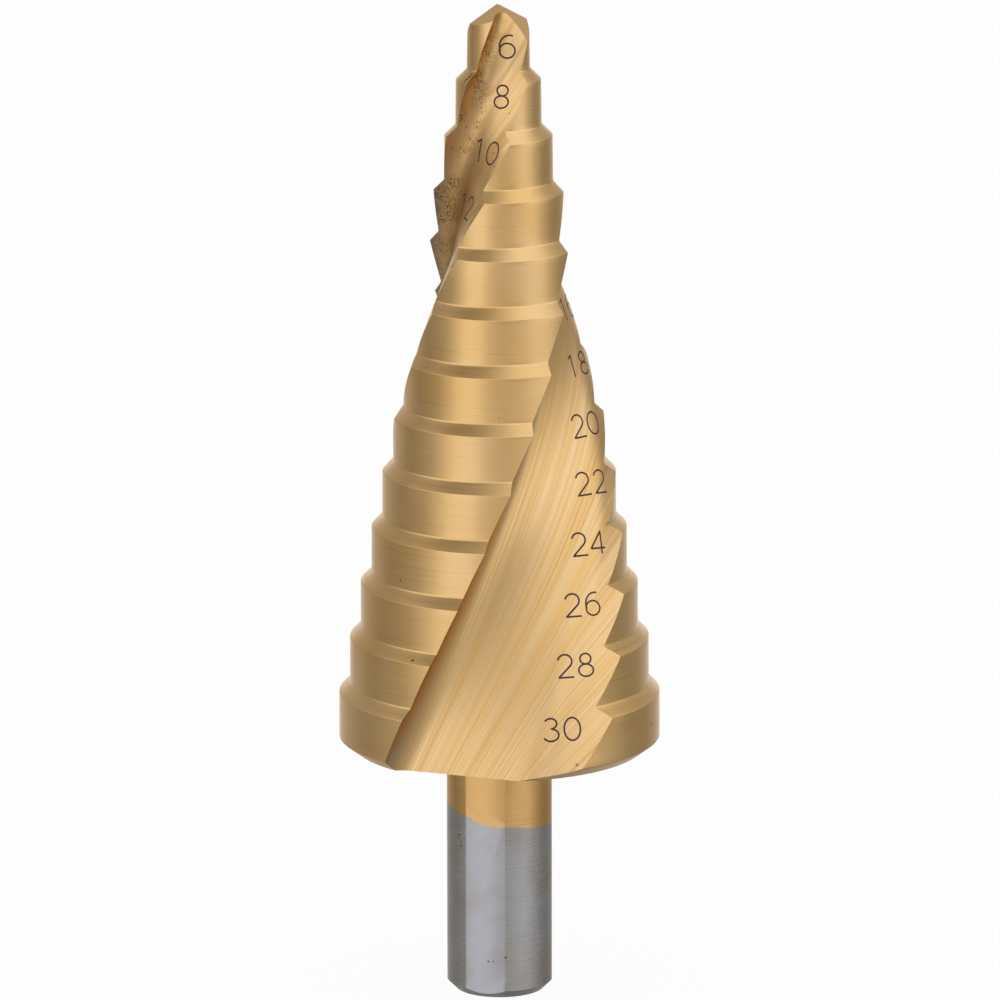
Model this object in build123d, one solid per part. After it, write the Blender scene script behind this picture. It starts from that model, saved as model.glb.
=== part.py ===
from build123d import *
from math import cos, degrees, log, radians, sin, tan
import os

# Step drill: one piece of high speed steel with thirteen relieved steps, two ground helical flutes, a
# split point and a shank with three flats. Millimetres. The origin is the centre of the shank's end
# face, +Z runs along the axis to the point, and -Y is the front.

# Steps
smallestDiameter = 6.0
largestDiameter = 30.0
stepIncrement = 2.0         # growth in diameter from one step to the next
landLength = 4.24           # straight length of each step
firstLandLength = 4.84      # and of the smallest, up to the lips
shoulderAngle = 45.0        # slope of the shoulders, from the axis
landRelief = 0.22           # fall of each step from its cutting edge to its heel
landReliefLead = 40.0       # how far ahead of the cutting edge the land's own centre lies, in degrees
backBevelWidth = 1.5        # bevel behind the largest step, across
backBevelHeight = 1.1       # and along the axis

# Point
pointAngle = 144.0          # included angle between the two lips
lipRelief = 23.0            # fall of the flank behind each lip
heelFlankFall = 53.0        # fall of the second flank, which also thins the web
heelFlankTurn = 117.8       # its direction, behind the lip
chiselReach = 0.25          # from the axis to the second flank, at the height of the tip

# Shank
shankDiameter = 9.85
shankLength = 23.35
shankChamfer = 0.8
flatCount = 3
flatDistance = 4.55         # from the axis to each flat
flatDirection = -16.8       # of the first flat, in degrees from the front towards +X

# Flutes
fluteCount = 2
helixAngle = 25.9           # measured on a cone that stands off from the steps
helixStandOff = 0.94
cutDirection = -36.65       # of the first cutting corner of the largest step, from the front
rakeAngle = 15.0            # hook of the cutting face
mainWallLean = 25.0         # of the main wall's normal, from the cutting corner's radius
mainWallAtPoint = 0.68      # distance from the axis to the main wall, at the smallest step
mainWallAtBack = 11.0       # and at the largest step
heelWallLean = 54.0         # of the narrow wall beside the heel
fluteWidth = 81.6           # in degrees, from cutting corner to heel
rootFillet = 0.7
wallBlend = 5.0             # radius between the two walls
fluteSections = 18

margin = 2.0                # how far a cutter stands out of the steel


# Places along the axis, worked out from the sizes above
smallestRadius = smallestDiameter / 2
largestRadius = largestDiameter / 2
stepCount = round((largestDiameter - smallestDiameter) / stepIncrement) + 1
radiusGrowth = (largestRadius - smallestRadius) / (stepCount - 1)
shoulderHeight = radiusGrowth / tan(radians(shoulderAngle))
stepPitch = landLength + shoulderHeight
backZ = shankLength
lastCornerZ = backZ + backBevelHeight + landLength          # upper corner of the largest step
firstCornerZ = lastCornerZ + stepPitch * (stepCount - 1) - landLength + firstLandLength   # of the lips
lipFall = tan(radians(90 - pointAngle / 2))
tipZ = firstCornerZ + smallestRadius * lipFall
coneSlope = radiusGrowth / stepPitch                        # of the cone through the upper corners
landSpan = 360 / fluteCount - fluteWidth                    # from cutting edge back to heel, in degrees


def coneRadius(z):
    """Radius at height z of the cone through the upper corners of the steps."""
    return largestRadius - (z - lastCornerZ) * coneSlope


def cutAngle(z):
    """Direction of the first cutting edge at height z, in degrees anticlockwise from +X."""
    turn = tan(radians(helixAngle)) / coneSlope * log(
        (largestRadius + helixStandOff) / (coneRadius(z) + helixStandOff))
    return cutDirection - 90 + degrees(turn)


def polar(radius, angle):
    """Point at a radius and at an angle in degrees from the cutting corner's radius."""
    return radius * cos(radians(angle)), radius * sin(radians(angle))


def relievedOutline(radius):
    """Outline of a step: each land is an arc struck off the axis, so it falls away behind its edge."""
    offCentre = landRelief / (cos(radians(landReliefLead)) - cos(radians(landReliefLead + landSpan)))

    def land(behind):
        """Radius of the land at an angle behind its cutting edge."""
        return radius - offCentre * (cos(radians(landReliefLead)) - cos(radians(landReliefLead + behind)))

    runOut = landSpan + fluteWidth / 6              # the land's arc ends inside the next flute
    gap = (runOut + 360 / fluteCount) / 2
    arcs = []
    for i in range(fluteCount):
        turn = 360 / fluteCount * i
        start, middle, last = (polar(land(a), turn - a) for a in (0, runOut / 2, runOut))
        arcs.append(ThreePointArc(start, middle, last))
        arcs.append(ThreePointArc(last, polar(land(runOut), turn - gap), polar(radius, turn - 360 / fluteCount)))
    return make_face(arcs)


def steppedBlank():
    """The blank before its flutes: shank, back bevel, and relieved steps joined by shoulders."""
    shank = Cylinder(shankDiameter / 2, backZ, align=(Align.CENTER, Align.CENTER, Align.MIN))
    shank = chamfer(shank.edges().sort_by(Axis.Z)[0], shankChamfer)
    landZ = backZ + backBevelHeight
    turned = Rot(0, 0, cutAngle(lastCornerZ))
    blank = [shank, loft(
        [Pos(0, 0, backZ) * turned * relievedOutline(largestRadius - backBevelWidth),
         Pos(0, 0, landZ) * turned * relievedOutline(largestRadius)], ruled=True)]
    for step in range(stepCount - 1):
        radius = largestRadius - radiusGrowth * step
        cornerZ = lastCornerZ + stepPitch * step
        turned = Rot(0, 0, cutAngle(cornerZ))
        outline = turned * relievedOutline(radius)
        blank.append(extrude(Pos(0, 0, landZ) * outline, cornerZ - landZ))
        landZ = cornerZ + shoulderHeight
        blank.append(loft([Pos(0, 0, cornerZ) * outline,
                           Pos(0, 0, landZ) * turned * relievedOutline(radius - radiusGrowth)], ruled=True))
    outline = Rot(0, 0, cutAngle(firstCornerZ)) * relievedOutline(smallestRadius)
    blank.append(extrude(Pos(0, 0, landZ) * outline, tipZ + margin - landZ))
    return Part() + blank


def shankFlats():
    """Slabs that grind the flats on the shank, as far up as the back of the largest step."""
    slab = Pos(flatDistance, 0, 0) * Box(
        shankDiameter, shankDiameter + 2 * margin, 2 * backZ, align=(Align.MIN, Align.CENTER, Align.CENTER))
    return [Rot(0, 0, flatDirection - 90 + 360 / flatCount * i) * slab for i in range(flatCount)]


def crossing(lean1, distance1, lean2, distance2):
    """Where two straight walls meet, each given by its normal's direction and its distance."""
    det = sin(radians(lean2 - lean1))
    return (
        (distance1 * sin(radians(lean2)) - distance2 * sin(radians(lean1))) / det,
        (distance2 * cos(radians(lean1)) - distance1 * cos(radians(lean2))) / det,
    )


def fluteSection(z):
    """Section of the flute at height z: cutting face, rounded root, main wall, heel wall."""
    radius = coneRadius(z)
    share = (radius - smallestRadius) / (largestRadius - smallestRadius)
    mainDistance = mainWallAtPoint + (mainWallAtBack - mainWallAtPoint) * share
    heelDistance = (radius - landRelief) * cos(radians(fluteWidth - heelWallLean))
    rakeLean = rakeAngle - 90
    root = crossing(rakeLean, radius * cos(radians(rakeLean)), mainWallLean, mainDistance)
    blend = crossing(mainWallLean, mainDistance, heelWallLean, heelDistance)
    reach = largestRadius + margin
    rake, heel = polar(reach, rakeAngle), polar(reach, heelWallLean + 90)
    outline = FilletPolyline(
        (root[0] + rake[0], root[1] + rake[1]),
        root,
        blend,
        (blend[0] + heel[0], blend[1] + heel[1]),
        (2 * reach, 2 * reach),
        radius=[0, rootFillet, wallBlend, 0, 0],
        close=True,
    )
    return Pos(0, 0, z) * Rot(0, 0, cutAngle(z)) * make_face(outline)


def flutes():
    """The flutes, as solids that follow a helix on the cone of the steps."""
    low, high = backZ - margin, tipZ + margin
    flute = loft([fluteSection(low + (high - low) * i / (fluteSections - 1)) for i in range(fluteSections)])
    return [Rot(0, 0, 360 / fluteCount * i) * flute for i in range(fluteCount)]


def flankCutters():
    """Blocks that grind each lip's two flanks: a gentle one, then a steep one that thins the web."""
    reach = largestRadius
    block = Box(2 * reach, 2 * reach, reach, align=(Align.CENTER, Align.CENTER, Align.MIN))
    first = Plane(origin=(0, 0, tipZ), z_dir=(lipFall, -tan(radians(lipRelief)), 1)) * block
    fallX, fallY = polar(tan(radians(heelFlankFall)), -heelFlankTurn)
    edge = polar(chiselReach, -heelFlankTurn)
    second = Plane(origin=(*edge, tipZ), z_dir=(fallX, fallY, 1)) * block
    halfSpace = Box(4 * reach, 2 * reach, 4 * reach, align=(Align.CENTER, Align.MAX, Align.CENTER))
    ground = first + (second & Pos(0, 0, tipZ) * halfSpace)
    lipTurn = cutAngle(firstCornerZ)
    return [Rot(0, 0, lipTurn + 360 / fluteCount * index) * ground for index in range(fluteCount)]


part = steppedBlank() - shankFlats() - flutes() - flankCutters()
part.label = "step_drill"
os.makedirs("parts", exist_ok=True)
export_step(part, "parts/step_drill.step")
print("solids", len(part.solids()), "volume", round(part.volume, 1), "length", round(tipZ, 2))
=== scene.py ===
import bpy
from math import ceil, cos, degrees, e, log, pi, radians, sin, tan
from mathutils import Matrix, Vector


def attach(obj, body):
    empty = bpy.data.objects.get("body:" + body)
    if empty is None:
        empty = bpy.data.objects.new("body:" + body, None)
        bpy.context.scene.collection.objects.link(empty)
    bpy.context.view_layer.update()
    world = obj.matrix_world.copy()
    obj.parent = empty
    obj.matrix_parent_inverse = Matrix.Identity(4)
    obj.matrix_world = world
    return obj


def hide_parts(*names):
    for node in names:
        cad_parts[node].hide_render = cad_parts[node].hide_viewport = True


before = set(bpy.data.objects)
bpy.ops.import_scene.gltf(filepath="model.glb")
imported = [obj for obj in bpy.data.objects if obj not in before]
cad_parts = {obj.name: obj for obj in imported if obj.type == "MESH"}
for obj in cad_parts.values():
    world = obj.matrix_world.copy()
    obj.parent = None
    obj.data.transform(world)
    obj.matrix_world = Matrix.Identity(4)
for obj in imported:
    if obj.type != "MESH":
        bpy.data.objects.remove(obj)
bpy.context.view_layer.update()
mm = 0.001


def addNode(tree, kind, inputs=None, **settings):
    # one node, its settings, and its inputs as values or as the outputs that feed them
    node = tree.nodes.new(kind)
    for name, value in settings.items():
        setattr(node, name, value)
    for socket, value in (inputs or {}).items():
        for source in value if isinstance(value, list) else [value]:
            if isinstance(source, bpy.types.NodeSocket):
                tree.links.new(source, node.inputs[socket])
            else:
                node.inputs[socket].default_value = source
    return node


def newTree(name, inputs, outputs=None):
    # a geometry node tree with named inputs: {name: (socket type, default)}
    tree = bpy.data.node_groups.new(name, "GeometryNodeTree")
    for title, (kind, default) in inputs.items():
        socket = tree.interface.new_socket(title, in_out="INPUT", socket_type="NodeSocket" + kind)
        if default is not None:
            socket.default_value = default
    for title, kind in (outputs or {"Geometry": "Geometry"}).items():
        tree.interface.new_socket(title, in_out="OUTPUT", socket_type="NodeSocket" + kind)
    return tree, tree.nodes.new("NodeGroupInput").outputs, tree.nodes.new("NodeGroupOutput")


def helperMesh(name, points, edges=(), faces=(), facings=None):
    # a bare mesh that a tree reads its points from
    mesh = bpy.data.meshes.new(name)
    mesh.from_pydata(points, edges, faces)
    if facings:
        mesh.attributes.new("facing", "FLOAT_VECTOR", "POINT").data.foreach_set("vector", facings)
    thing = bpy.data.objects.new(name, mesh)
    bpy.context.scene.collection.objects.link(thing)
    return thing


def grow(name, tree, values):
    # runs a tree on an empty mesh and keeps the plain mesh that comes out
    carrier = bpy.data.objects.new(name, bpy.data.meshes.new(name))
    bpy.context.scene.collection.objects.link(carrier)
    modifier = carrier.modifiers.new(name, "NODES")
    modifier.node_group = tree
    identifiers = {s.name: s.identifier for s in tree.interface.items_tree if s.in_out == "INPUT"}
    for title, value in values.items():
        modifier[identifiers[title]] = value
    graph = bpy.context.evaluated_depsgraph_get()
    mesh = bpy.data.meshes.new_from_object(carrier.evaluated_get(graph), depsgraph=graph)
    carrier.modifiers.clear()
    carrier.data = mesh
    mesh.name = name
    # finishes that no face wears are dropped
    worn = sorted({face.material_index for face in mesh.polygons})
    kept = [mesh.materials[i] for i in worn]
    slots = [worn.index(face.material_index) for face in mesh.polygons]
    mesh.materials.clear()
    for finish in kept:
        mesh.materials.append(finish)
    mesh.polygons.foreach_set("material_index", slots)
    return carrier


def colour(text):
    # sRGB hex to the linear colour that a shader takes
    parts = [int(text[i:i + 2], 16) / 255 for i in (1, 3, 5)]
    return tuple(c / 12.92 if c <= 0.04045 else ((c + 0.055) / 1.055) ** 2.4 for c in parts) + (1.0,)


# sizes in millimetres, angles in degrees
drill = {
    "smallestRadius": 3.0,
    "largestRadius": 15.0,
    "stepCount": 13,
    "landLength": 4.24,         # straight length of each step
    "shoulderHeight": 1.0,
    "shoulderFillet": 0.35,     # where a shoulder runs into the smaller step
    "edgeRounding": 0.07,       # a ground edge is never quite sharp
    "backBevelWidth": 1.5,
    "backBevelHeight": 1.1,
    "radialRelief": 0.22,       # fall of each step from cutting edge to heel
    "axialRelief": 0.12,
    "reliefFrom": 0.3,          # height above the back where the relief begins, and its run-in
    "reliefRun": 0.8,
    "shankRadius": 4.925,
    "shankLength": 23.35,
    "shankChamfer": 0.8,
    "flatDistance": 4.55,
    "flatDirection": -16.8,
    "flatCount": 3,
    "tipZ": 93.15,
    "columns": 192,
    "rowSpacing": 0.62,
    "sharpAngle": 24,           # edges that turn by more than this stay crisp
}

growth = (drill["largestRadius"] - drill["smallestRadius"]) / (drill["stepCount"] - 1)
pitch = drill["landLength"] + drill["shoulderHeight"]
slope = growth / pitch
backZ = drill["shankLength"]
lastCornerZ = backZ + drill["backBevelHeight"] + drill["landLength"]


def rounded(before, corner, after, radius, count):
    # points of a fillet at a corner
    a = (Vector(before) - Vector(corner)).normalized()
    b = (Vector(after) - Vector(corner)).normalized()
    half = a.angle(b) / 2
    centre = Vector(corner) + (a + b).normalized() * radius / sin(half)
    start = Vector(corner) + a * radius / tan(half) - centre
    end = Vector(corner) + b * radius / tan(half) - centre
    first, last = start.normalized(), end.normalized()
    return [centre + first.slerp(last, i / (count - 1)) * radius for i in range(count)]


def profilePoints():
    # (radius, height, share of relief) from the middle of the shank's end face to the top
    shank, bevelZ = drill["shankRadius"], backZ + drill["backBevelHeight"]
    corners = [((0, 0), 0), ((shank - drill["shankChamfer"], 0), 0), ((shank, drill["shankChamfer"]), 0),
               ((shank, backZ), 0), ((drill["largestRadius"] - drill["backBevelWidth"], backZ), 0),
               ((drill["largestRadius"], bevelZ), drill["edgeRounding"])]
    for step in range(drill["stepCount"] - 1):
        radius, z = drill["largestRadius"] - growth * step, lastCornerZ + pitch * step
        corners.append(((radius, z), drill["edgeRounding"]))
        corners.append(((radius - growth, z + drill["shoulderHeight"]), drill["shoulderFillet"]))
    top = drill["tipZ"] + 2
    corners += [((drill["smallestRadius"], top), 0), ((0, top), 0)]
    line = []
    for i, (corner, radius) in enumerate(corners):
        if radius:
            line += rounded(corners[i - 1][0], corner, corners[i + 1][0], radius, 5)
        else:
            line.append(Vector(corner))
    points = []
    for here, there in zip(line, line[1:]):
        parts = max(1, ceil(abs(there.y - here.y) / drill["rowSpacing"]))
        points += [here.lerp(there, i / parts) for i in range(parts)]
    points.append(line[-1])
    section = []
    for p in points:
        share = min(max((p.y - backZ - drill["reliefFrom"]) / drill["reliefRun"], 0), 1)
        section.append((p.x, p.y, share if p.y < top else 0))
    return section


flute = {
    "helixAngle": 25.9,
    "standOff": 0.94,           # of the cone that carries the helix
    "cutDirection": -36.65,
    "rakeAngle": 15.0,
    "mainWallLean": 25.0,
    "mainWallAtPoint": 0.68,    # distance of the main wall from the axis
    "mainWallAtBack": 11.0,
    "heelWallLean": 54.0,
    "width": 81.6,
    "rootFillet": 2.5,
    "wallBlend": 5.0,
    "rowSpacing": 0.3,
    "below": 2,                 # run of the wheel past the back and past the point
    "above": 2.5,
    "poleAt": 20,               # where the ends of the sweep close, along x and y, clear of the drill
    # distances of the section's points from its two corners, on the rake wall and on the heel wall
    "rakeStops": (13, 10, 8, 6.5, 5.2, 4.2, 3.3, 2.5, 1.8, 1.2),
    "heelStops": (1.9, 2.6, 3.4, 4.4, 5.6, 7, 9, 12),
    "mainWallParts": 14,
    "streakFan": 0.25,          # how far the wheel's lines fan out from root to heel
    "streakShrink": 0.5,        # smallest width of that fan near the point, as a share of the back's
}


def fluteTemplate():
    # the flute's section as offsets from its two corners: (x, y, share of the way from root to blend)
    rake, main, heel = (radians(flute[k]) for k in ("rakeAngle", "mainWallLean", "heelWallLean"))
    rakeWay = Vector((cos(rake), sin(rake)))
    mainWay = Vector((-sin(main), cos(main)))
    heelWay = Vector((-sin(heel), cos(heel)))
    rootArc = rounded(rakeWay, (0, 0), mainWay, flute["rootFillet"], 8)
    blendArc = rounded(-mainWay, (0, 0), heelWay, flute["wallBlend"], 8)
    reach, parts = drill["largestRadius"] + 2, flute["mainWallParts"]
    section = [(rakeWay * d, 0) for d in (reach, *flute["rakeStops"])]
    section += [(p, 0) for p in rootArc]
    section += [(rootArc[-1].lerp(blendArc[0], i / parts), i / parts) for i in range(1, parts)]
    section += [(p, 1) for p in blendArc]
    section += [(heelWay * d, 1) for d in (*flute["heelStops"], reach)]
    section.append((Vector((2 * reach, 2 * reach)), 0))
    return [(p.x, p.y, share) for p, share in section]


def helixTree():
    # angle of the cutting edge at a height, on a helix that lies on a cone
    tree, given, end = newTree("helixAngle", {
        "Z": ("Float", 0.0), "Helix Angle": ("Float", radians(flute["helixAngle"])),
        "Cone Slope": ("Float", slope), "Back Radius": ("Float", drill["largestRadius"] * mm),
        "Back Z": ("Float", lastCornerZ * mm), "Stand Off": ("Float", flute["standOff"] * mm),
        "Cut Direction": ("Float", radians(flute["cutDirection"] - 90))},
        {"Angle": "Float", "Radius": "Float"})
    rise = addNode(tree, "ShaderNodeMath", {0: given["Z"], 1: given["Back Z"]},
                   operation="SUBTRACT").outputs[0]
    lost = addNode(tree, "ShaderNodeMath", {0: rise, 1: given["Cone Slope"]}, operation="MULTIPLY").outputs[0]
    radius = addNode(tree, "ShaderNodeMath", {0: given["Back Radius"], 1: lost},
                     operation="SUBTRACT").outputs[0]
    widest = addNode(tree, "ShaderNodeMath", {0: given["Back Radius"], 1: given["Stand Off"]}).outputs[0]
    here = addNode(tree, "ShaderNodeMath", {0: radius, 1: given["Stand Off"]}).outputs[0]
    here = addNode(tree, "ShaderNodeMath", {0: here, 1: 1e-4}, operation="MAXIMUM").outputs[0]
    ratio = addNode(tree, "ShaderNodeMath", {0: widest, 1: here}, operation="DIVIDE").outputs[0]
    turn = addNode(tree, "ShaderNodeMath", {0: ratio, 1: e}, operation="LOGARITHM").outputs[0]
    lead = addNode(tree, "ShaderNodeMath", {0: given["Helix Angle"]}, operation="TANGENT").outputs[0]
    lead = addNode(tree, "ShaderNodeMath", {0: lead, 1: given["Cone Slope"]}, operation="DIVIDE").outputs[0]
    turn = addNode(tree, "ShaderNodeMath", {0: turn, 1: lead}, operation="MULTIPLY").outputs[0]
    angle = addNode(tree, "ShaderNodeMath", {0: turn, 1: given["Cut Direction"]}).outputs[0]
    tree.links.new(angle, end.inputs["Angle"])
    tree.links.new(radius, end.inputs["Radius"])
    return tree


def crossingTree():
    # where two walls meet, each given by its normal's direction and its distance from the axis
    tree, given, end = newTree("wallCrossing", {
        "Lean 1": ("Float", 0.0), "Distance 1": ("Float", 0.0), "Lean 2": ("Float", 0.0),
        "Distance 2": ("Float", 0.0)}, {"Point": "Vector"})
    swing = addNode(tree, "ShaderNodeMath", {0: given["Lean 2"], 1: given["Lean 1"]},
                    operation="SUBTRACT").outputs[0]
    divisor = addNode(tree, "ShaderNodeMath", {0: swing}, operation="SINE").outputs[0]
    parts = []
    for operation, first, second in (("SINE", 1, 2), ("COSINE", 2, 1)):
        # each wall's distance times the sine or cosine of the other wall's lean
        products = []
        for near, far in ((first, second), (second, first)):
            turned = addNode(tree, "ShaderNodeMath", {0: given[f"Lean {far}"]},
                             operation=operation).outputs[0]
            products.append(addNode(tree, "ShaderNodeMath", {0: given[f"Distance {near}"], 1: turned},
                                    operation="MULTIPLY").outputs[0])
        gap = addNode(tree, "ShaderNodeMath", {0: products[0], 1: products[1]},
                      operation="SUBTRACT").outputs[0]
        parts.append(addNode(tree, "ShaderNodeMath", {0: gap, 1: divisor}, operation="DIVIDE").outputs[0])
    spot = addNode(tree, "ShaderNodeCombineXYZ", {0: parts[0], 1: parts[1]}).outputs[0]
    tree.links.new(spot, end.inputs["Point"])
    return tree


def blankTree(helix):
    # the turned blank: the profile swept round the axis, falling away behind each cutting edge
    tree, given, end = newTree("steppedBlank", {
        "Profile": ("Object", None), "Rows": ("Int", 10), "Columns": ("Int", drill["columns"]),
        "Land Span": ("Float", radians(180 - flute["width"])),
        "Radial Relief": ("Float", drill["radialRelief"] * mm),
        "Axial Relief": ("Float", drill["axialRelief"] * mm)})
    profile = addNode(tree, "GeometryNodeObjectInfo", {"Object": given["Profile"]}).outputs["Geometry"]
    more = addNode(tree, "FunctionNodeIntegerMath", {0: given["Columns"], 1: 1}).outputs[0]
    grid = addNode(tree, "GeometryNodeMeshGrid", {
        "Vertices X": more, "Vertices Y": given["Rows"]}).outputs["Mesh"]
    index = addNode(tree, "GeometryNodeInputIndex").outputs[0]
    row = addNode(tree, "FunctionNodeIntegerMath", {0: index, 1: given["Rows"]},
                  operation="MODULO").outputs[0]
    column = addNode(tree, "FunctionNodeIntegerMath", {0: index, 1: given["Rows"]},
                     operation="DIVIDE_FLOOR").outputs[0]
    place = addNode(tree, "GeometryNodeInputPosition").outputs[0]
    ring = addNode(tree, "GeometryNodeSampleIndex", {"Geometry": profile, "Value": place, "Index": row},
                   data_type="FLOAT_VECTOR").outputs[0]
    ring = addNode(tree, "ShaderNodeSeparateXYZ", {0: ring}).outputs
    # how far behind the cutting edge: 0 at the edge, 1 at the heel, back to 0 across the flute
    behind = addNode(tree, "ShaderNodeMath", {0: column, 1: given["Columns"]}, operation="DIVIDE").outputs[0]
    behind = addNode(tree, "ShaderNodeMath", {0: behind, 1: 2 * pi}, operation="MULTIPLY").outputs[0]
    folded = addNode(tree, "ShaderNodeMath", {0: behind, 1: pi}, operation="FLOORED_MODULO").outputs[0]
    onLand = addNode(tree, "ShaderNodeMath", {0: folded, 1: given["Land Span"]},
                     operation="DIVIDE").outputs[0]
    left = addNode(tree, "ShaderNodeMath", {0: pi, 1: folded}, operation="SUBTRACT").outputs[0]
    room = addNode(tree, "ShaderNodeMath", {0: pi, 1: given["Land Span"]}, operation="SUBTRACT").outputs[0]
    inFlute = addNode(tree, "ShaderNodeMath", {0: left, 1: room}, operation="DIVIDE").outputs[0]
    away = addNode(tree, "ShaderNodeMath", {0: onLand, 1: inFlute}, operation="MINIMUM").outputs[0]
    away = addNode(tree, "ShaderNodeMath", {0: away, 1: ring[1]}, operation="MULTIPLY").outputs[0]
    inward = addNode(tree, "ShaderNodeMath", {0: away, 1: given["Radial Relief"]},
                     operation="MULTIPLY").outputs[0]
    radius = addNode(tree, "ShaderNodeMath", {0: ring[0], 1: inward}, operation="SUBTRACT").outputs[0]
    radius = addNode(tree, "ShaderNodeMath", {0: radius, 1: 0.0}, operation="MAXIMUM").outputs[0]
    drop = addNode(tree, "ShaderNodeMath", {0: away, 1: given["Axial Relief"]},
                   operation="MULTIPLY").outputs[0]
    z = addNode(tree, "ShaderNodeMath", {0: ring[2], 1: drop}, operation="SUBTRACT").outputs[0]
    turn = addNode(tree, "GeometryNodeGroup", {"Z": ring[2]}, node_tree=helix).outputs["Angle"]
    angle = addNode(tree, "ShaderNodeMath", {0: turn, 1: behind}, operation="SUBTRACT").outputs[0]
    legs = []
    for operation in ("COSINE", "SINE"):
        leg = addNode(tree, "ShaderNodeMath", {0: angle}, operation=operation).outputs[0]
        legs.append(addNode(tree, "ShaderNodeMath", {0: radius, 1: leg}, operation="MULTIPLY").outputs[0])
    spot = addNode(tree, "ShaderNodeCombineXYZ", {0: legs[0], 1: legs[1], 2: z}).outputs[0]
    swept = addNode(tree, "GeometryNodeSetPosition", {"Geometry": grid, "Position": spot}).outputs[0]
    closed = addNode(tree, "GeometryNodeMergeByDistance", {"Geometry": swept, "Distance": 1e-6}).outputs[0]
    outward = addNode(tree, "GeometryNodeFlipFaces", {"Mesh": closed}).outputs[0]
    tree.links.new(outward, end.inputs[0])
    return tree


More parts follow.
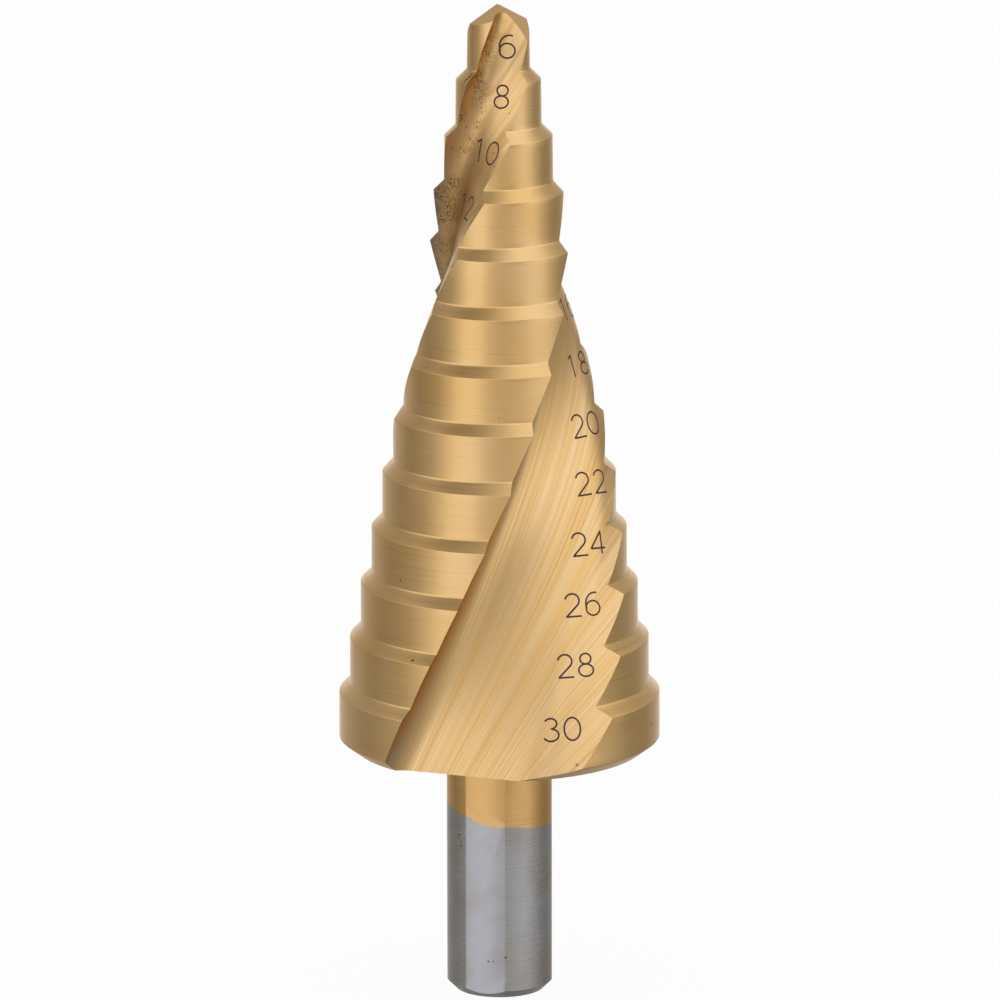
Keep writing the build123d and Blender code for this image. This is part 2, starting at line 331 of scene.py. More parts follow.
def fluteTree(helix, crossing):
    # the room that the grinding wheel sweeps: the section carried along the helix
    tree, given, end = newTree("fluteSweep", {
        "Section": ("Object", None), "Rows": ("Int", 10), "Columns": ("Int", 10),
        "Low Z": ("Float", (backZ - flute["below"]) * mm),
        "High Z": ("Float", (drill["tipZ"] + flute["above"]) * mm),
        "Rake Lean": ("Float", radians(flute["rakeAngle"] - 90)),
        "Main Lean": ("Float", radians(flute["mainWallLean"])),
        "Heel Lean": ("Float", radians(flute["heelWallLean"])), "Width": ("Float", radians(flute["width"])),
        "Main Wall At Point": ("Float", flute["mainWallAtPoint"] * mm),
        "Main Wall At Back": ("Float", flute["mainWallAtBack"] * mm),
        "Smallest Radius": ("Float", drill["smallestRadius"] * mm),
        "Largest Radius": ("Float", drill["largestRadius"] * mm),
        "Heel Relief": ("Float", drill["radialRelief"] * mm)})
    section = addNode(tree, "GeometryNodeObjectInfo", {"Object": given["Section"]}).outputs["Geometry"]
    more = addNode(tree, "FunctionNodeIntegerMath", {0: given["Columns"], 1: 1}).outputs[0]
    grid = addNode(tree, "GeometryNodeMeshGrid", {
        "Vertices X": more, "Vertices Y": given["Rows"]}).outputs["Mesh"]
    index = addNode(tree, "GeometryNodeInputIndex").outputs[0]
    row = addNode(tree, "FunctionNodeIntegerMath", {0: index, 1: given["Rows"]},
                  operation="MODULO").outputs[0]
    column = addNode(tree, "FunctionNodeIntegerMath", {0: index, 1: given["Rows"]},
                     operation="DIVIDE_FLOOR").outputs[0]
    column = addNode(tree, "FunctionNodeIntegerMath", {0: column, 1: given["Columns"]},
                     operation="MODULO").outputs[0]
    place = addNode(tree, "GeometryNodeInputPosition").outputs[0]
    offset = addNode(tree, "GeometryNodeSampleIndex", {"Geometry": section, "Value": place, "Index": column},
                     data_type="FLOAT_VECTOR").outputs[0]
    share = addNode(tree, "ShaderNodeSeparateXYZ", {0: offset}).outputs[2]
    offset = addNode(tree, "ShaderNodeVectorMath", {0: offset, 1: (1, 1, 0)}, operation="MULTIPLY").outputs[0]
    # height of the row
    last = addNode(tree, "ShaderNodeMath", {0: given["Rows"], 1: 1.0}, operation="SUBTRACT").outputs[0]
    along = addNode(tree, "ShaderNodeMath", {0: row, 1: 1.0}, operation="SUBTRACT").outputs[0]
    whole = addNode(tree, "ShaderNodeMath", {0: last, 1: 2.0}, operation="SUBTRACT").outputs[0]
    along = addNode(tree, "ShaderNodeMath", {0: along, 1: whole}, operation="DIVIDE").outputs[0]
    along = addNode(tree, "ShaderNodeClamp", {0: along}).outputs[0]
    tall = addNode(tree, "ShaderNodeMath", {0: given["High Z"], 1: given["Low Z"]},
                   operation="SUBTRACT").outputs[0]
    tall = addNode(tree, "ShaderNodeMath", {0: along, 1: tall}, operation="MULTIPLY").outputs[0]
    z = addNode(tree, "ShaderNodeMath", {0: given["Low Z"], 1: tall}).outputs[0]
    turn = addNode(tree, "GeometryNodeGroup", {"Z": z}, node_tree=helix)
    radius = turn.outputs["Radius"]
    # the three walls' distances from the axis, and the two corners between them
    grown = addNode(tree, "ShaderNodeMath", {0: radius, 1: given["Smallest Radius"]},
                    operation="SUBTRACT").outputs[0]
    span = addNode(tree, "ShaderNodeMath", {0: given["Largest Radius"], 1: given["Smallest Radius"]},
                   operation="SUBTRACT").outputs[0]
    grown = addNode(tree, "ShaderNodeMath", {0: grown, 1: span}, operation="DIVIDE").outputs[0]
    deeper = addNode(tree, "ShaderNodeMath", {0: given["Main Wall At Back"], 1: given["Main Wall At Point"]},
                     operation="SUBTRACT").outputs[0]
    deeper = addNode(tree, "ShaderNodeMath", {0: grown, 1: deeper}, operation="MULTIPLY").outputs[0]
    mainDepth = addNode(tree, "ShaderNodeMath", {0: given["Main Wall At Point"], 1: deeper}).outputs[0]
    rakeDepth = addNode(tree, "ShaderNodeMath", {0: given["Rake Lean"]}, operation="COSINE").outputs[0]
    rakeDepth = addNode(tree, "ShaderNodeMath", {0: radius, 1: rakeDepth}, operation="MULTIPLY").outputs[0]
    heelRadius = addNode(tree, "ShaderNodeMath", {0: radius, 1: given["Heel Relief"]},
                         operation="SUBTRACT").outputs[0]
    heelDepth = addNode(tree, "ShaderNodeMath", {0: given["Width"], 1: given["Heel Lean"]},
                        operation="SUBTRACT").outputs[0]
    heelDepth = addNode(tree, "ShaderNodeMath", {0: heelDepth}, operation="COSINE").outputs[0]
    heelDepth = addNode(tree, "ShaderNodeMath", {0: heelRadius, 1: heelDepth},
                        operation="MULTIPLY").outputs[0]
    root = addNode(tree, "GeometryNodeGroup", {
        "Lean 1": given["Rake Lean"], "Distance 1": rakeDepth, "Lean 2": given["Main Lean"],
        "Distance 2": mainDepth}, node_tree=crossing).outputs[0]
    blend = addNode(tree, "GeometryNodeGroup", {
        "Lean 1": given["Main Lean"], "Distance 1": mainDepth, "Lean 2": given["Heel Lean"],
        "Distance 2": heelDepth}, node_tree=crossing).outputs[0]
    corner = addNode(tree, "ShaderNodeMix", {"Factor": share, 4: root, 5: blend},
                     data_type="VECTOR").outputs[1]
    spot = addNode(tree, "ShaderNodeVectorMath", {0: corner, 1: offset}).outputs[0]
    # the two end rows shrink to one point, which closes the sweep
    above = addNode(tree, "ShaderNodeMath", {0: row, 1: 0.5}, operation="GREATER_THAN").outputs[0]
    below = addNode(tree, "ShaderNodeMath", {0: last, 1: 0.5}, operation="SUBTRACT").outputs[0]
    below = addNode(tree, "ShaderNodeMath", {0: row, 1: below}, operation="LESS_THAN").outputs[0]
    inside = addNode(tree, "ShaderNodeMath", {0: above, 1: below}, operation="MULTIPLY").outputs[0]
    pole = (flute["poleAt"] * mm, flute["poleAt"] * mm, 0.0)
    spot = addNode(tree, "ShaderNodeMix", {"Factor": inside, 4: pole, 5: spot}, data_type="VECTOR").outputs[1]
    spot = addNode(tree, "ShaderNodeVectorRotate", {"Vector": spot, "Angle": turn.outputs["Angle"]},
                   rotation_type="Z_AXIS").outputs[0]
    up = addNode(tree, "ShaderNodeCombineXYZ", {2: z}).outputs[0]
    spot = addNode(tree, "ShaderNodeVectorMath", {0: spot, 1: up}).outputs[0]
    swept = addNode(tree, "GeometryNodeSetPosition", {"Geometry": grid, "Position": spot}).outputs[0]
    closed = addNode(tree, "GeometryNodeMergeByDistance", {"Geometry": swept, "Distance": 1e-6}).outputs[0]
    outward = addNode(tree, "GeometryNodeFlipFaces", {"Mesh": closed}).outputs[0]
    tree.links.new(outward, end.inputs[0])
    return tree


point = {
    "firstFlankFall": (-0.4626, -0.2704),   # of the flank behind the lip that points back, along x and y
    "secondFlankFall": (-1.0967, 0.7468),
    "secondFlankRise": 0.33,                # its height above the tip, on the axis
    "lipDirection": 173.5,                  # from the front towards +X
    "halfWidth": 6,                         # of the blocks that grind the flanks away
    "blockTops": (8, 16),                   # of those blocks, above the tip
    "splitGap": 0.02,                       # of the second flank's block from the axis
}


def prism(name, corners, bottom, top):
    # a block that stands on a tilted plane: corners are (x, y), bottom gives the height at (x, y)
    count = len(corners)
    points = [(x * mm, y * mm, bottom(x, y) * mm) for x, y in corners]
    points += [(x * mm, y * mm, top * mm) for x, y in corners]
    faces = [tuple(range(count))[::-1], tuple(range(count, 2 * count))]
    faces += [(i, (i + 1) % count, count + (i + 1) % count, count + i) for i in range(count)]
    return helperMesh(name, points, faces=faces)


def flankPlane(fall, rise):
    # height of a flank at (x, y)
    return lambda x, y: drill["tipZ"] + rise + fall[0] * x + fall[1] * y


def drillTree(blank, sweep, helix):
    # the whole drill: blank less flutes, flats and flanks, split at the edge of the coating
    tree, given, end = newTree("groundDrill", {
        "Profile": ("Object", None), "Section": ("Object", None), "Profile Rows": ("Int", 10),
        "Section Rows": ("Int", 10), "Section Columns": ("Int", 10), "First Flank": ("Object", None),
        "Second Flank": ("Object", None), "Flat": ("Object", None), "Coat Edge": ("Object", None),
        "Bare": ("Bool", False), "Land Finish": ("Material", None), "Flute Finish": ("Material", None),
        "Shank Finish": ("Material", None)})
    turned = addNode(tree, "GeometryNodeGroup", {"Profile": given["Profile"], "Rows": given["Profile Rows"]},
                     node_tree=blank).outputs[0]
    swept = addNode(tree, "GeometryNodeGroup", {
        "Section": given["Section"], "Rows": given["Section Rows"], "Columns": given["Section Columns"]},
        node_tree=sweep).outputs[0]
    blankMesh = addNode(tree, "GeometryNodeSetMaterial", {
        "Geometry": turned, "Material": given["Land Finish"]}).outputs[0]
    sources = [(swept, given["Flute Finish"], 2)]
    for title, count in (("First Flank", 2), ("Second Flank", 2), ("Flat", drill["flatCount"])):
        shape = addNode(tree, "GeometryNodeObjectInfo", {"Object": given[title]}).outputs["Geometry"]
        sources.append((shape, given["Land Finish"], count))
    cutters = []
    for shape, finish, count in sources:
        shape = addNode(tree, "GeometryNodeSetMaterial", {"Geometry": shape, "Material": finish}).outputs[0]
        for i in range(count):
            cutters.append(addNode(tree, "GeometryNodeTransform", {
                "Geometry": shape, "Rotation": (0, 0, 2 * pi * i / count)}).outputs[0])
    cut = addNode(tree, "GeometryNodeMeshBoolean", {"Mesh 1": blankMesh, "Mesh 2": cutters},
                  operation="DIFFERENCE", solver="MANIFOLD").outputs[0]
    edge = addNode(tree, "GeometryNodeObjectInfo", {"Object": given["Coat Edge"]}).outputs["Geometry"]
    edge = addNode(tree, "GeometryNodeSetMaterial", {
        "Geometry": edge, "Material": given["Shank Finish"]}).outputs[0]
    coated = addNode(tree, "GeometryNodeMeshBoolean", {"Mesh 1": cut, "Mesh 2": edge},
                     operation="DIFFERENCE", solver="MANIFOLD").outputs[0]
    bare = addNode(tree, "GeometryNodeMeshBoolean", {"Mesh 2": [cut, edge]},
                   operation="INTERSECT", solver="MANIFOLD").outputs[0]
    either = addNode(tree, "GeometryNodeSwitch", {"Switch": given["Bare"], "False": coated, "True": bare},
                     input_type="GEOMETRY").outputs[0]
    # unwound place: the position with the helix and the cone taken out, so that marks follow the flute
    place = addNode(tree, "GeometryNodeInputPosition").outputs[0]
    xyz = addNode(tree, "ShaderNodeSeparateXYZ", {0: place}).outputs
    turn = addNode(tree, "GeometryNodeGroup", {"Z": xyz[2]}, node_tree=helix).outputs
    back = addNode(tree, "ShaderNodeMath", {0: turn["Angle"], 1: -1.0}, operation="MULTIPLY").outputs[0]
    straight = addNode(tree, "ShaderNodeVectorRotate", {"Vector": place, "Angle": back},
                       rotation_type="Z_AXIS").outputs[0]
    spread = addNode(tree, "ShaderNodeMath", {0: drill["largestRadius"] * mm, 1: turn["Radius"]},
                     operation="DIVIDE").outputs[0]
    spread = addNode(tree, "ShaderNodeCombineXYZ", {0: spread, 1: spread, 2: 1.0}).outputs[0]
    unwound = addNode(tree, "ShaderNodeVectorMath", {0: straight, 1: spread}, operation="MULTIPLY").outputs[0]
    # streak place: across and along the lines of the grinding wheel, which fan out from root to heel
    local = addNode(tree, "ShaderNodeSeparateXYZ", {0: straight}).outputs
    shrunk = addNode(tree, "ShaderNodeMath", {0: turn["Radius"], 1: 1 / (drill["largestRadius"] * mm)},
                     operation="MULTIPLY").outputs[0]
    shrunk = addNode(tree, "ShaderNodeMath", {0: shrunk, 1: flute["streakShrink"]},
                     operation="MAXIMUM").outputs[0]
    across = addNode(tree, "ShaderNodeMath", {0: local[1], 1: shrunk}, operation="MULTIPLY").outputs[0]
    inward = addNode(tree, "ShaderNodeMath", {0: local[0], 1: shrunk}, operation="DIVIDE").outputs[0]
    across = addNode(tree, "ShaderNodeMath", {0: inward, 1: flute["streakFan"], 2: across},
                     operation="MULTIPLY_ADD").outputs[0]
    streakPlace = addNode(tree, "ShaderNodeCombineXYZ", {0: across, 1: xyz[2]}).outputs[0]
    # flat place: the position turned by a whole number of flats on to the first one
    share = 2 * pi / drill["flatCount"]
    around = addNode(tree, "ShaderNodeMath", {0: xyz[1], 1: xyz[0]}, operation="ARCTAN2").outputs[0]
    first = addNode(tree, "ShaderNodeMath", {0: around, 1: radians(drill["flatDirection"] - 90) - share / 2},
                    operation="SUBTRACT").outputs[0]
    folded = addNode(tree, "ShaderNodeMath", {0: first, 1: share}, operation="FLOORED_MODULO").outputs[0]
    back = addNode(tree, "ShaderNodeMath", {0: folded, 1: share / 2}, operation="SUBTRACT").outputs[0]
    back = addNode(tree, "ShaderNodeMath", {0: back, 1: around}, operation="SUBTRACT").outputs[0]
    flatPlace = addNode(tree, "ShaderNodeVectorRotate", {"Vector": place, "Angle": back},
                        rotation_type="Z_AXIS").outputs[0]
    kept = either
    for title, value in (("unwound", unwound), ("streakPlace", streakPlace), ("flatPlace", flatPlace)):
        kept = addNode(tree, "GeometryNodeStoreNamedAttribute", {
            "Geometry": kept, "Name": title, "Value": value},
            data_type="FLOAT_VECTOR", domain="POINT").outputs[0]
    whole = addNode(tree, "GeometryNodeRealizeInstances", {0: kept}).outputs[0]
    finished = addNode(tree, "GeometryNodeSetMaterial", {
        "Geometry": whole, "Selection": given["Bare"], "Material": given["Shank Finish"]}).outputs[0]
    tree.links.new(finished, end.inputs[0])
    return tree


# lines left by the lathe and the grinding wheels, in millimetres
grinding = {
    "ringPitch": 0.22,
    "ringDepth": 0.004,
    "shankRings": (25, 25, 5200),   # cells in a metre, so rings about 0.19 mm apart
    "combPitch": 0.23,          # regular lines in patches on the round of the shank
    "combShare": 0.32,
    "arcPitch": 0.17,           # wide arcs on the flats, round a point beside the shank
    "arcCentre": (0.0, -14.0, 30.0),
    "streakPitch": 0.11,
    "streakLength": 34.0,
    "broadStreakPitch": 0.8,
    "broadStreakLength": 60.0,
    "streakDepth": 0.003,
}


def newMaterial(name):
    # a material, its tree and its surface shader
    material = bpy.data.materials.new(name)
    material.use_nodes = True
    tree = material.node_tree
    return material, tree, tree.nodes["Principled BSDF"]


def dress(tree, surface, metallic, tint, rough, bump):
    # joins colour, gloss and bump to the surface
    surface.inputs["Metallic"].default_value = metallic
    for socket, source in (("Base Color", tint), ("Roughness", rough), ("Normal", bump)):
        tree.links.new(source, surface.inputs[socket])


def shankMarks(tree):
    # ground lines on the shank, as a height, and 1 where they lie on a flat
    folded = addNode(tree, "ShaderNodeAttribute", attribute_name="flatPlace").outputs["Vector"]
    along = addNode(tree, "ShaderNodeSeparateXYZ", {0: folded}).outputs
    sideways = addNode(tree, "ShaderNodeMath", {0: along[1]}, operation="ABSOLUTE").outputs[0]
    halfWidth = (drill["shankRadius"] ** 2 - drill["flatDistance"] ** 2) ** 0.5
    flatEdge = addNode(tree, "ShaderNodeMath", {0: along[0], 1: halfWidth / drill["flatDistance"]},
                       operation="MULTIPLY").outputs[0]
    onFlat = addNode(tree, "ShaderNodeMath", {0: sideways, 1: flatEdge}, operation="LESS_THAN").outputs[0]
    # rings far coarser than the real ones so that they show, and a comb in patches about 3 mm wide
    squeezed = addNode(tree, "ShaderNodeVectorMath", {0: folded, 1: grinding["shankRings"]},
                       operation="MULTIPLY").outputs[0]
    rings = addNode(tree, "ShaderNodeTexNoise", {
        "Vector": squeezed, "Scale": 1.0, "Detail": 3.0, "Roughness": 0.7}).outputs[0]
    comb = addNode(tree, "ShaderNodeMath", {0: along[2], 1: 2 * pi / (grinding["combPitch"] * mm)},
                   operation="MULTIPLY").outputs[0]
    comb = addNode(tree, "ShaderNodeMath", {0: comb}, operation="SINE").outputs[0]
    patchy = addNode(tree, "ShaderNodeTexNoise", {"Vector": folded, "Scale": 320.0, "Detail": 1.0}).outputs[0]
    patchy = addNode(tree, "ShaderNodeMapRange", {0: patchy, 1: 0.4, 2: 0.56}).outputs[0]
    comb = addNode(tree, "ShaderNodeMath", {0: comb, 1: patchy}, operation="MULTIPLY").outputs[0]
    rings = addNode(tree, "ShaderNodeMath", {0: comb, 1: grinding["combShare"], 2: rings},
                    operation="MULTIPLY_ADD").outputs[0]
    away = addNode(tree, "ShaderNodeVectorMath", {0: folded, 1: tuple(v * mm for v in grinding["arcCentre"])},
                   operation="SUBTRACT").outputs[0]
    reach = addNode(tree, "ShaderNodeVectorMath", {0: away}, operation="LENGTH").outputs["Value"]
    reach = addNode(tree, "ShaderNodeMath", {0: reach, 1: 1 / (grinding["arcPitch"] * mm)},
                    operation="MULTIPLY").outputs[0]
    arcs = addNode(tree, "ShaderNodeTexNoise", {"W": reach, "Scale": 1.0, "Detail": 2.0, "Roughness": 0.7},
                   noise_dimensions="1D").outputs[0]
    arcs = addNode(tree, "ShaderNodeMapRange", {0: arcs, 3: 0.25, 4: 0.8}).outputs[0]
    height = addNode(tree, "ShaderNodeMix", {"Factor": onFlat, 2: rings, 3: arcs}).outputs[0]
    return height, onFlat


def speckles(tree, place, spacing, share):
    # small round pits: 1 inside a pit, scattered in loose groups
    cells = addNode(tree, "ShaderNodeTexVoronoi", {"Vector": place, "Scale": 1 / (spacing * mm)})
    dots = addNode(tree, "ShaderNodeMapRange", {0: cells.outputs["Distance"], 1: 0.2, 2: 0.08}).outputs[0]
    picked = addNode(tree, "ShaderNodeSeparateXYZ", {0: cells.outputs["Color"]}).outputs[0]
    kept = addNode(tree, "ShaderNodeMath", {0: picked, 1: share}, operation="LESS_THAN").outputs[0]
    return addNode(tree, "ShaderNodeMath", {0: dots, 1: kept}, operation="MULTIPLY").outputs[0]


def chips(tree, place, spots):
    # 1 inside any of the spots, each (x, y, z, radius) in millimetres, its rim ragged by about 0.1 mm
    ragged = addNode(tree, "ShaderNodeTexNoise", {"Vector": place, "Scale": 9000.0, "Detail": 1.0}).outputs[1]
    ragged = addNode(tree, "ShaderNodeVectorMath", {0: ragged, 1: (0.5, 0.5, 0.5)},
                     operation="SUBTRACT").outputs[0]
    ragged = addNode(tree, "ShaderNodeVectorMath", {0: ragged, "Scale": 0.25 * mm},
                     operation="SCALE").outputs[0]
    moved = addNode(tree, "ShaderNodeVectorMath", {0: place, 1: ragged}).outputs[0]
    found = 0.0
    for x, y, z, radius in spots:
        away = addNode(tree, "ShaderNodeVectorMath", {0: moved, 1: (x * mm, y * mm, z * mm)},
                       operation="DISTANCE").outputs["Value"]
        inside = addNode(tree, "ShaderNodeMapRange", {
            0: away, 1: radius * mm, 2: 0.6 * radius * mm}).outputs[0]
        found = addNode(tree, "ShaderNodeMath", {0: found, 1: inside}, operation="MAXIMUM").outputs[0]
    return found


coat = {
    "pale": "#F5CE96",
    "deep": "#F0C482",
    "line": "#C9985A",
    "gleam": "#FFE6BE",
    "shank": "#E4B676",
    "stained": "#C59A66",       # washed over the flutes near the point
    # painted pale reflection: the bright rim that the flute shows along each cutting edge
    "edgeReflection": "#BDA992",           # beside a cutting edge
    "speck": "#6B4A26",
    "pit": "#6A5238",
    "wornSteel": "#D9D5D2",
    "shankShare": 0.8,          # of the shank's deeper tint
    # where each stain, and the painted reflection by the cutting edges, begins and where it is full, in
    # millimetres: height, then distances from an edge
    "stainedFrom": (58, 74),
    "washReach": (14, 5),
    "speckReach": (11, 5),
    "edgeReflectionReach": (3.4, 1.2),
    # pits: spacing in millimetres, share of the places that hold one
    "landPits": (0.7, 0.008),
    "flutePits": (0.5, 0.12),
    # single marks of use and handling, and a row of painted shade: (x, y, z, radius) in millimetres
    # the first four land spots are painted shade: a dark line along the cutting edge on the shoulder between
    # the 8 mm and 6 mm steps
    "landChipsAndEdgeShade": [(-2.45, -2.17, 87.05, 0.16), (-2.66, -2.23, 86.84, 0.16), (-2.88, -2.28, 86.62, 0.15),
                  (-3.09, -2.34, 86.44, 0.13), (-7.96, -11.15, 34.22, 0.16), (7.23, -12.9, 24.7, 0.24),
                  (7.5, -12.8, 24.95, 0.12)],
    "wornSpots": [(-0.35, -0.77, 92.07, 0.13), (-0.4, -0.85, 91.8, 0.1), (-8.8, -11.78, 28.99, 0.16),
                  (-8.15, -11.36, 30.49, 0.13)],
    "fluteChips": [(-0.35, -0.78, 91.8, 0.1), (7.1, -12.8, 24.75, 0.2)],
}


def turnedCoat():
    # satin titanium nitride on turned steel: fine rings round the axis, faint tint patches, a few pits, and a
    # row of painted shade along one shoulder's cutting edge
    material, tree, surface = newMaterial("titaniumNitrideTurned")
    place = addNode(tree, "ShaderNodeTexCoord").outputs["Object"]
    height = addNode(tree, "ShaderNodeSeparateXYZ", {0: place}).outputs[2]
    # turning lines, drawn coarser than the real 0.05 mm feed so that they can be seen at all
    squeezed = addNode(tree, "ShaderNodeVectorMath", {
        0: place, 1: (22, 22, 1 / (grinding["ringPitch"] * mm))}, operation="MULTIPLY").outputs[0]
    rings = addNode(tree, "ShaderNodeTexNoise", {
        "Vector": squeezed, "Scale": 1.0, "Detail": 3.0, "Roughness": 0.72}).outputs[0]
    below = addNode(tree, "ShaderNodeMath", {0: height, 1: (backZ - 0.02) * mm},
                    operation="LESS_THAN").outputs[0]
    lines = addNode(tree, "ShaderNodeMix", {"Factor": below, 2: rings, 3: shankMarks(tree)[0]}).outputs[0]
    # the coat's tint changes over about 6 mm
    cloud = addNode(tree, "ShaderNodeTexNoise", {"Vector": place, "Scale": 160.0, "Detail": 3.0}).outputs[0]
    cloud = addNode(tree, "ShaderNodeMapRange", {0: cloud, 1: 0.3, 2: 0.7}).outputs[0]
    tint = addNode(tree, "ShaderNodeMix", {0: cloud, 6: colour(coat["pale"]), 7: colour(coat["deep"])},
                   data_type="RGBA").outputs[2]
    deeper = addNode(tree, "ShaderNodeMath", {0: below, 1: coat["shankShare"]},
                     operation="MULTIPLY").outputs[0]
    lined = addNode(tree, "ShaderNodeMapRange", {0: lines, 1: 0.42, 2: 0.2, 4: 0.5}).outputs[0]
    # pits and chips, and the painted shade along one cutting edge, all in the pit colour
    pits = addNode(tree, "ShaderNodeMath", {
        0: speckles(tree, place, *coat["landPits"]), 1: chips(tree, place, coat["landChipsAndEdgeShade"])},
        operation="MAXIMUM").outputs[0]
    worn = chips(tree, place, coat["wornSpots"])
    for share, shade in ((deeper, "shank"), (lined, "line"), (pits, "pit"), (worn, "wornSteel")):
        tint = addNode(tree, "ShaderNodeMix", {0: share, 6: tint, 7: colour(coat[shade])},
                       data_type="RGBA").outputs[2]
    rough = addNode(tree, "ShaderNodeMapRange", {0: lines, 1: 0.25, 2: 0.75, 3: 0.2, 4: 0.3}).outputs[0]
    rough = addNode(tree, "ShaderNodeMath", {0: pits, 1: 0.3, 2: rough}, operation="MULTIPLY_ADD").outputs[0]
    bump = addNode(tree, "ShaderNodeBump", {
        "Strength": 1.0, "Distance": grinding["ringDepth"] * mm, "Height": lines}).outputs[0]
    surface.inputs["Anisotropic"].default_value = 0.5     # rings spread the light up and down
    grain = addNode(tree, "ShaderNodeTangent", direction_type="RADIAL", axis="Z").outputs[0]
    tree.links.new(grain, surface.inputs["Tangent"])
    dress(tree, surface, 1.0, tint, rough, bump)
    return material


def groundCoat():
    # the same coat over a ground flute: long streaks along the helix, stained and pitted near the point, with
    # a painted pale reflection beside both cutting edges
    material, tree, surface = newMaterial("titaniumNitrideGround")
    place = addNode(tree, "ShaderNodeTexCoord").outputs["Object"]
    unwound = addNode(tree, "ShaderNodeAttribute", attribute_name="unwound").outputs["Vector"]
    streakPlace = addNode(tree, "ShaderNodeAttribute", attribute_name="streakPlace").outputs["Vector"]
    streaks = []
    for across, along in ((grinding["streakPitch"], grinding["streakLength"]),
                          (grinding["broadStreakPitch"], grinding["broadStreakLength"])):
        stretched = addNode(tree, "ShaderNodeVectorMath", {
            0: streakPlace, 1: (1 / (across * mm), 1 / (along * mm), 0.0)}, operation="MULTIPLY").outputs[0]
        streaks.append(addNode(tree, "ShaderNodeTexNoise", {
            "Vector": stretched, "Scale": 1.0, "Detail": 2.0, "Roughness": 0.65},
            noise_dimensions="2D").outputs[0])
    fine, broad = streaks
    paler = addNode(tree, "ShaderNodeMapRange", {0: broad, 1: 0.35, 2: 0.65}).outputs[0]
    scratches = addNode(tree, "ShaderNodeMapRange", {0: fine, 1: 0.44, 2: 0.3, 4: 0.45}).outputs[0]
    gleams = addNode(tree, "ShaderNodeMapRange", {0: fine, 1: 0.58, 2: 0.72, 4: 0.45}).outputs[0]
    # how near the point, how near the stained cutting edge, how near either edge for the painted reflection
    (low, full), (outer, inner), (reflectionOuter, reflectionInner), (far, near) = (
        coat[name] for name in ("stainedFrom", "washReach", "edgeReflectionReach", "speckReach"))
    high = addNode(tree, "ShaderNodeSeparateXYZ", {0: place}).outputs[2]
    high = addNode(tree, "ShaderNodeMapRange", {0: high, 1: low * mm, 2: full * mm}).outputs[0]
    level = addNode(tree, "ShaderNodeVectorMath", {0: unwound, 1: (1, 1, 0)}, operation="MULTIPLY").outputs[0]
    fromEdge = addNode(tree, "ShaderNodeVectorMath", {0: level, 1: (-drill["largestRadius"] * mm, 0.0, 0.0)},
                       operation="DISTANCE").outputs["Value"]
    wash = addNode(tree, "ShaderNodeMapRange", {
        0: fromEdge, 1: outer * mm, 2: inner * mm, 4: 0.75}).outputs[0]
    wash = addNode(tree, "ShaderNodeMath", {0: wash, 1: high}, operation="MULTIPLY").outputs[0]
    # painted reflection: a pale strip on the flute beside either cutting edge
    edgeReflection = addNode(tree, "ShaderNodeVectorMath", {0: level}, operation="ABSOLUTE").outputs[0]
    edgeReflection = addNode(tree, "ShaderNodeVectorMath", {0: edgeReflection, 1: (drill["largestRadius"] * mm, 0.0, 0.0)},
                  operation="DISTANCE").outputs["Value"]
    edgeReflection = addNode(tree, "ShaderNodeMapRange", {0: edgeReflection, 1: reflectionOuter * mm, 2: reflectionInner * mm, 4: 0.8}).outputs[0]
    # dark specks 0.2 mm wide where the coat broke away, in clumps of 2 mm beside the stained cutting edge
    dark = addNode(tree, "ShaderNodeMapRange", {0: fromEdge, 1: far * mm, 2: near * mm}).outputs[0]
    dark = addNode(tree, "ShaderNodeMath", {0: high, 1: dark}, operation="MULTIPLY").outputs[0]
    for scale, low, top in ((480.0, 0.4, 0.56), (5600.0, 0.44, 0.68)):
        grain = addNode(tree, "ShaderNodeTexNoise", {
            "Vector": place, "Scale": scale, "Detail": 2.0}).outputs[0]
        grain = addNode(tree, "ShaderNodeMapRange", {0: grain, 1: low, 2: top}).outputs[0]
        dark = addNode(tree, "ShaderNodeMath", {0: dark, 1: grain}, operation="MULTIPLY").outputs[0]
    pits = addNode(tree, "ShaderNodeMath", {0: speckles(tree, place, *coat["flutePits"]), 1: high},
                   operation="MULTIPLY").outputs[0]
    for marked in (pits, chips(tree, place, coat["fluteChips"])):
        dark = addNode(tree, "ShaderNodeMath", {0: dark, 1: marked}, operation="MAXIMUM").outputs[0]
    tint = addNode(tree, "ShaderNodeMix", {0: paler, 6: colour(coat["deep"]), 7: colour(coat["pale"])},
                   data_type="RGBA").outputs[2]
    for share, shade in ((scratches, "line"), (gleams, "gleam"), (wash, "stained"), (edgeReflection, "edgeReflection"),
                         (dark, "speck")):
        tint = addNode(tree, "ShaderNodeMix", {0: share, 6: tint, 7: colour(coat[shade])},
                       data_type="RGBA").outputs[2]
    rough = addNode(tree, "ShaderNodeMapRange", {0: fine, 1: 0.3, 2: 0.7, 3: 0.36, 4: 0.24}).outputs[0]
    rough = addNode(tree, "ShaderNodeMath", {0: dark, 1: 0.3, 2: rough}, operation="MULTIPLY_ADD").outputs[0]
    relief = addNode(tree, "ShaderNodeMath", {0: broad, 1: fine}).outputs[0]
    bump = addNode(tree, "ShaderNodeBump", {
        "Strength": 1.0, "Distance": grinding["streakDepth"] * mm, "Height": relief}).outputs[0]
    dress(tree, surface, 1.0, tint, rough, bump)
    return material


steel = {
    "round": "#BABABF",
    "flat": "#C2C4CC",
    "stain": "#B1A598",
    "line": "#8F8E90",
    "pit": "#6A5238",
    "pits": (0.8, 0.006),
    "chips": [(-1.06, -4.43, 3.56, 0.12), (-0.6, -4.57, 3.6, 0.1), (0.52, -4.89, 4.08, 0.14),
              (-3.74, -3.2, 15.49, 0.12), (-3.55, -3.4, 14.48, 0.14), (-3.6, -3.35, 14.75, 0.1),
              (-3.84, -3.07, 15.2, 0.1)],
}


